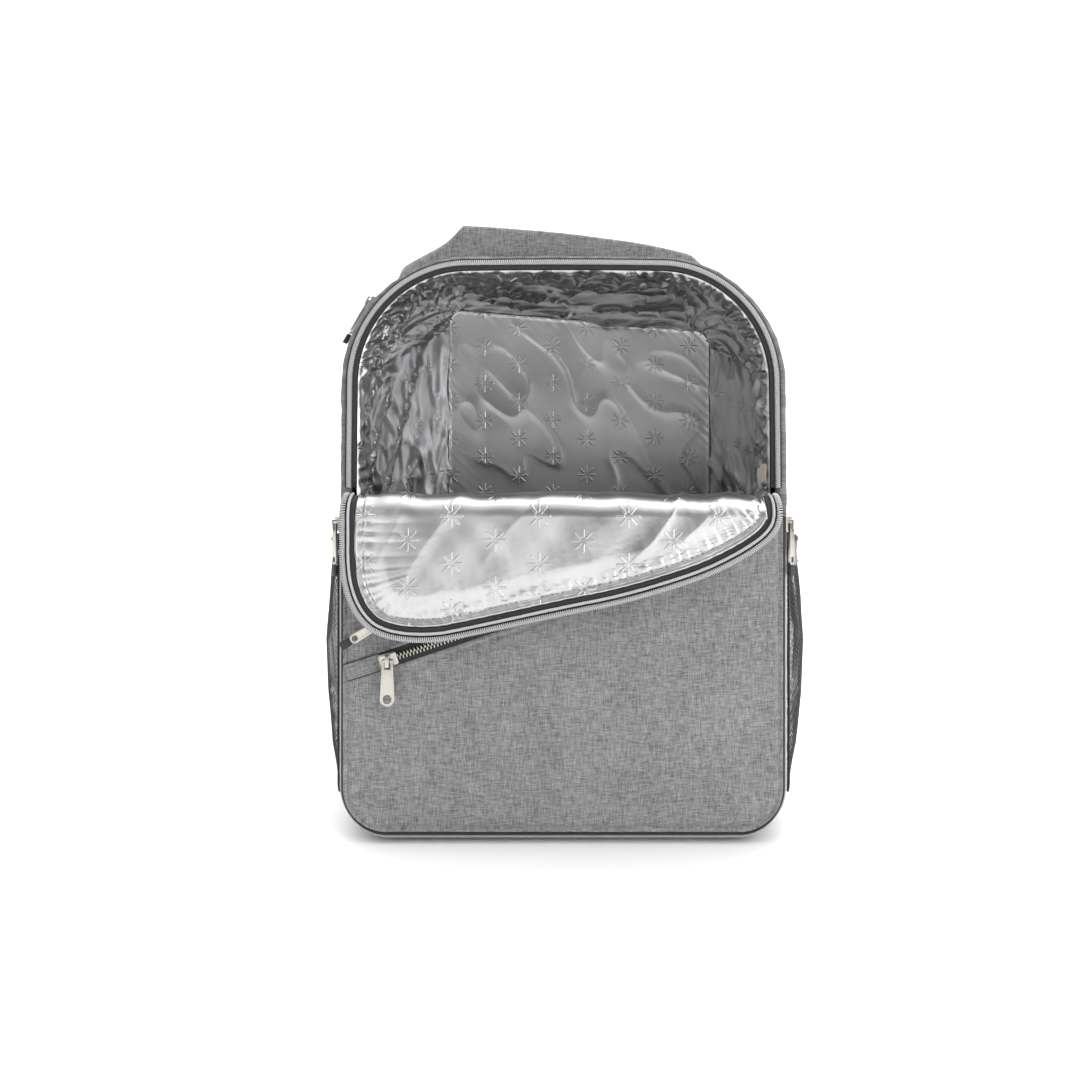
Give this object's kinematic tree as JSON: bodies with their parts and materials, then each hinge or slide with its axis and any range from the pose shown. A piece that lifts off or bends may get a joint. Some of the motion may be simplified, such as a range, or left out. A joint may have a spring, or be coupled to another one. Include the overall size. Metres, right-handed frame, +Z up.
{
  "type": "cooler backpack",
  "caption": "Insulated backpack with a foil-lined main compartment, its front flap unzipped and folded down, side net pockets, a slanted front zip pocket, a top handle and shoulder straps.",
  "frame": {"origin": "centre of the base, on the surface it stands on", "axes": "+Z up, -Y out of the front with the opening, +X to the right seen from the front"},
  "size_m": [0.3706, 0.2421, 0.471],
  "materials": {
    "heather_fabric": "woven heather grey polyester",
    "foil": "crinkled metallised film",
    "trim": "woven piping",
    "zip_tape": "black woven tape",
    "zip_coil": "grey nylon coil",
    "nickel": "satin nickel",
    "black_moulding": "satin black",
    "net": "knitted net",
    "label": "blank satin"
  },
  "bodies": {
    "root": {"back_panel": "heather_fabric", "flap_lining": "foil", "flap_panel": "heather_fabric", "flap_zip_coil": "zip_coil", "flap_zip_tape": "zip_tape", "front_panel": "heather_fabric", "front_pocket": "heather_fabric", "gusset_lower": "heather_fabric", "gusset_upper": "heather_fabric", "lining_back": "foil", "lining_front": "foil", "lining_tag": "label", "lining_wall": "foil", "main_left_slider": "nickel", "main_right_slider": "nickel", "mesh_pocket_left": "net", "mesh_pocket_right": "net", "piping_back": "trim", "piping_flap": "trim", "piping_front": "trim", "pocket_band_left": "heather_fabric", "pocket_band_right": "heather_fabric", "pocket_slider": "nickel", "pocket_zip_tape": "zip_tape", "pocket_zip_teeth": "nickel", "rear_slider": "nickel", "rear_zip_coil": "zip_coil", "rear_zip_tape": "zip_tape", "rim_zip_coil": "zip_coil", "rim_zip_tape": "zip_tape", "shoulder_strap_left": "heather_fabric", "shoulder_strap_right": "heather_fabric", "strap_buckle_left": "black_moulding", "strap_buckle_right": "black_moulding", "strap_webbing_left": "zip_tape", "strap_webbing_right": "zip_tape", "top_handle": "heather_fabric", "upper_slider": "nickel", "upper_zip_tape": "zip_tape", "upper_zip_teeth": "nickel"},
    "pocket_pull": {"pocket_pull": "nickel"},
    "upper_pull": {"upper_pull": "nickel", "upper_pull_tip": "black_moulding"},
    "main_left_pull": {"main_left_pull": "nickel", "main_left_pull_tip": "black_moulding"},
    "main_right_pull": {"main_right_pull": "nickel", "main_right_pull_tip": "black_moulding"},
    "rear_pull": {"rear_pull": "nickel", "rear_pull_tip": "black_moulding"}
  },
  "joints": [
    {"name": "pocket_pull_swing", "type": "hinge", "parent": "root", "child": "pocket_pull", "pos_m": [-0.12386, -0.09676, 0.1343], "axis": [-1, 0, 0], "range_deg": [0, 100]},
    {"name": "upper_pull_swing", "type": "hinge", "parent": "root", "child": "upper_pull", "pos_m": [-0.12531, -0.09585, 0.16341], "axis": [-0.515, 0, 0.8572], "range_deg": [0, 8]},
    {"name": "main_left_pull_swing", "type": "hinge", "parent": "root", "child": "main_left_pull", "pos_m": [-0.16444, -0.08487, 0.23], "axis": [-0.6561, 0.7547, 0], "range_deg": [0, 120]},
    {"name": "main_right_pull_swing", "type": "hinge", "parent": "root", "child": "main_right_pull", "pos_m": [0.16444, -0.08487, 0.23], "axis": [-0.6561, -0.7547, 0], "range_deg": [0, 120]},
    {"name": "rear_pull_swing", "type": "hinge", "parent": "root", "child": "rear_pull", "pos_m": [-0.14844, -0.05, 0.39628], "axis": [0, 1, 0], "range_deg": [0, 110]}
  ]
}
